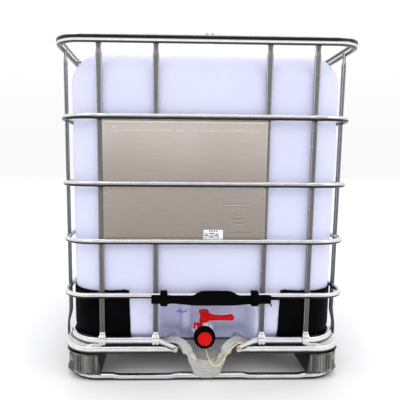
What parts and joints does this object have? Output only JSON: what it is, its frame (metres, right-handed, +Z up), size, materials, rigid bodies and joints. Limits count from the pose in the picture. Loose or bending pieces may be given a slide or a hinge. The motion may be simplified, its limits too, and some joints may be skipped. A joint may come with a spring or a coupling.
{
  "type": "intermediate bulk container",
  "caption": "Caged intermediate bulk container: translucent plastic bottle in a galvanised tube cage on a steel pallet, with a red-levered outlet valve and screw cap.",
  "frame": {"origin": "middle of the footprint, on the floor", "axes": "+Z up, -Y out of the valve side, +X to the right seen from the valve side"},
  "size_m": [1, 1.2, 1.16],
  "materials": {
    "galvanised_tube": "bright galvanised",
    "galvanised_sheet": "galvanised pressed sheet",
    "zinc_fastener": "zinc plated",
    "label_sheet": "satin galvanised sheet",
    "sticker": "printed film",
    "natural_hdpe": "translucent satin",
    "valve_white": "satin",
    "black_rubber": "matt",
    "lid_red": "satin",
    "black_plastic": "moulded, slightly glossy",
    "red_plastic": "moulded, glossy",
    "valve_disc_steel": "turned",
    "yellow_cable": "pvc insulated"
  },
  "bodies": {
    "frame": {"pallet_runner": "galvanised_tube", "pallet_tray": "galvanised_sheet", "tray_rim": "galvanised_tube", "drain_apron": "galvanised_sheet", "corner_foot_front_left": "galvanised_sheet", "corner_foot_front_right": "galvanised_sheet", "corner_foot_rear_left": "galvanised_sheet", "corner_foot_rear_right": "galvanised_sheet", "middle_foot_left": "galvanised_sheet", "middle_foot_right": "galvanised_sheet", "middle_foot_rear": "galvanised_sheet", "pallet_bolts": "zinc_fastener", "cage_base_rail": "galvanised_tube", "top_rail": "galvanised_tube", "cage_ring_1": "galvanised_tube", "cage_ring_2": "galvanised_tube", "cage_ring_3": "galvanised_tube", "cage_ring_4": "galvanised_tube", "front_upright_1": "galvanised_tube", "front_upright_2": "galvanised_tube", "front_upright_3": "galvanised_tube", "front_upright_4": "galvanised_tube", "rear_upright_1": "galvanised_tube", "rear_upright_2": "galvanised_tube", "rear_upright_3": "galvanised_tube", "rear_upright_4": "galvanised_tube", "left_upright_1": "galvanised_tube", "left_upright_2": "galvanised_tube", "left_upright_3": "galvanised_tube", "left_upright_4": "galvanised_tube", "right_upright_1": "galvanised_tube", "right_upright_2": "galvanised_tube", "right_upright_3": "galvanised_tube", "right_upright_4": "galvanised_tube", "upright_claws": "galvanised_sheet", "crossbar_front": "galvanised_tube", "crossbar_rear": "galvanised_tube", "cage_screws": "zinc_fastener", "label_plate": "label_sheet", "content_sticker": "sticker", "bottle": "natural_hdpe", "corner_protector_front_left": "black_plastic", "corner_protector_front_right": "black_plastic", "corner_protector_rear_left": "black_plastic", "corner_protector_rear_right": "black_plastic", "guard_bar": "black_plastic", "guard_clamps": "black_plastic", "union_nut": "valve_white", "valve_body": "valve_white", "earth_cable": "yellow_cable", "cable_terminals": "zinc_fastener"},
    "lid_seal": {"lid_gasket": "black_rubber"},
    "lid": {"filler_lid": "lid_red"},
    "lever": {"valve_lever": "red_plastic", "valve_stem": "black_plastic", "valve_disc": "valve_disc_steel"},
    "catch": {"lever_catch": "red_plastic"},
    "cap_seal": {"cap_gasket": "black_rubber"},
    "cap": {"outlet_cap": "black_plastic", "cap_seal_disc": "red_plastic"}
  },
  "joints": [
    {"name": "lid_lift", "type": "slide", "parent": "frame", "child": "lid_seal", "axis": [0, 0, 1], "range_m": [0, 0.12]},
    {"name": "lid_turn", "type": "hinge", "parent": "lid_seal", "child": "lid", "pos_m": [0, 0, 1.146], "axis": [0, 0, 1], "continuous": true},
    {"name": "lever_turn", "type": "hinge", "parent": "frame", "child": "lever", "pos_m": [0, -0.53, 0.2], "axis": [0, 0, 1], "range_deg": [-90, 0]},
    {"name": "catch_press", "type": "hinge", "parent": "frame", "child": "catch", "pos_m": [-0.012, -0.554, 0.1895], "axis": [0, -1, 0], "range_deg": [0, 12], "stiffness_Nm_per_rad": 0.2, "springref_deg": -2.86},
    {"name": "cap_turn", "type": "hinge", "parent": "cap_seal", "child": "cap", "pos_m": [0, -0.585, 0.151], "axis": [0, -1, 0], "range_deg": [0, 1080]},
    {"name": "cap_pull", "type": "slide", "parent": "frame", "child": "cap_seal", "axis": [0, -1, 0], "range_m": [0, 0.0181]}
  ],
  "couplings": [
    {"joint": "cap_pull", "follows": "cap_turn", "m_per_rad": 0.00095493}
  ]
}
